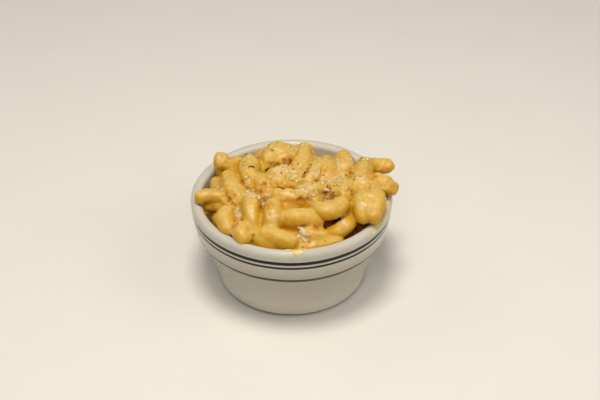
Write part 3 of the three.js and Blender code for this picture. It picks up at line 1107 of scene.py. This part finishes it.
def herb_scraps():
    scraps = []
    for px, py, length, bearing in seen_herbs:
        size = (length * 0.55, max(length * 0.2, 0.35), 0.12)
        bend = dice.uniform(-0.3, 0.3)
        scraps.append(draped(seen_at(px, py), size, radians(bearing), 0.5, bend, sink=-1.2))
    for hit in scattered(8, 44, -5):
        length = dice.uniform(0.6, 1.6)
        scraps.append(draped(hit, (length / 2, 0.28, 0.12), any_bearing(), 0.5, 0.2, sink=-0.8))
    return scraps


def lip_smear(bearing, half_width, low, high, thickness):
    """A smear of sauce on the lip, from a row of lip_smears."""
    apart = Vector((bearing, 5, 9))
    rings, sectors = 9, 40
    top, below = [], []
    for i in range(1, rings + 1):
        for k in range(sectors):
            turn = 2 * pi * k / sectors
            ragged = 1 + 0.45 * noise(Vector((cos(turn), sin(turn), 0)) * 1.3 + apart)
            share = i / rings
            turned = radians(bearing + half_width * share * ragged * cos(turn))
            slope = radians((low + high) / 2 + (high - low) / 2 * share * ragged * sin(turn))
            lumpy = 1 + 0.5 * noise(Vector((turned * 22, slope * 3, bearing)))
            lift = thickness * lumpy * sqrt(max(1 - share ** 2, 0))
            for points, away in ((top, lip_radius + 0.02 + lift), (below, lip_radius - 0.05)):
                reach, level = lip_point(slope, away)
                points.append((reach * MM * cos(turned), reach * MM * sin(turned), level * MM))
    return disc_body(top, below, rings, sectors)


def disc_body(top, below, rings, sectors):
    """A closed body between two discs of points, given ring by ring from the middle outward."""
    count = rings * sectors
    middles = [sum(map(Vector, side[:sectors]), Vector()) / sectors for side in (top, below)]
    vertices = top + below + middles
    faces = []
    for k in range(sectors):
        n = (k + 1) % sectors
        faces += [[2 * count, k, n], [2 * count + 1, count + n, count + k]]
        for i in range(rings - 1):
            a, b = i * sectors, (i + 1) * sectors
            faces.append([a + k, b + k, b + n, a + n])
            faces.append([count + a + n, count + b + n, count + b + k, count + a + k])
        last = (rings - 1) * sectors
        faces.append([last + k, count + last + k, count + last + n, last + n])
    return vertices, faces


left_clear = [seen_at(*spot[:2])[0] for spot in seen_herbs + pits]
for piece in (elbows, sauce):
    mark_spots(piece, "browned_and_crease_shade", browned_and_crease_shade)
    mark_spots(piece, "cream_and_highlight_spots", cream_and_highlight_spots)
    mark_spots(piece, "pits", pits)
    sink_pits(piece)
smears = joined(lip_smear(*smear) for smear in lip_smears)
add_piece("sauce_on_lip", *smears, smear_shader, "cheesy_pasta")
gather("white_cheese_crumbs", white_cheese_scraps(), white_cheese, "macaroni")
gather("melted_cheese_scraps", melted_scraps(), melted_cheese)
gather("toasted_crumb_scraps", toasted_scraps(), toasted)
gather("herb_flecks", herb_scraps(), herb)


# ---- room, in metres

ground_half = 3
ground_dark, ground_light = (0.81, 0.8, 0.765), (0.85, 0.84, 0.805)
aim_height = 0.04
daylight = (1, 0.95, 0.88)
# Round lamps aimed at the bowl: name, place, width, power and colour
lamps = [
    ("overhead", (-0.04, -0.12, 0.97), 0.3, 5.5, (1, 0.92, 0.8)),
    ("front", (-0.06, -0.62, 0.76), 0.26, 1.4, (1, 0.93, 0.82)),
    ("window", (-0.8, 0.35, 0.95), 0.6, 1, daylight),
    ("fill", (0.8, -0.3, 0.75), 0.8, 2.3, daylight),
]
sky_strength = 0.24


def make_ground():
    look = Look("pale_ground")
    look.start(look.noise(0.02, 3), ground_dark, ground_light)
    mesh = bpy.data.meshes.new("ground")
    corners = [(x * ground_half, y * ground_half, 0) for x, y in ((-1, -1), (1, -1), (1, 1), (-1, 1))]
    mesh.from_pydata(corners, [], [(0, 1, 2, 3)])
    mesh.materials.append(look.finish(0.6, 0.2))
    ground = new_object("ground", mesh)


def make_light(name, place, size, power, colour):
    data = bpy.data.lights.new(name, "AREA")
    data.shape = "DISK"
    data.size = size
    data.energy = power
    data.color = colour
    light = new_object(name, data)
    light.location = place
    aim = Vector((0, 0, aim_height)) - Vector(place)
    light.rotation_euler = aim.to_track_quat("-Z", "Y").to_euler()


def make_sky():
    world = bpy.data.worlds.new("soft_light")
    world.use_nodes = True
    background = world.node_tree.nodes["Background"]
    background.inputs["Color"].default_value = (*daylight, 1)
    background.inputs["Strength"].default_value = sky_strength
    bpy.context.scene.world = world


make_ground()
for lamp in lamps:
    make_light(*lamp)
make_sky()
bpy.context.scene.view_settings.view_transform = "Standard"
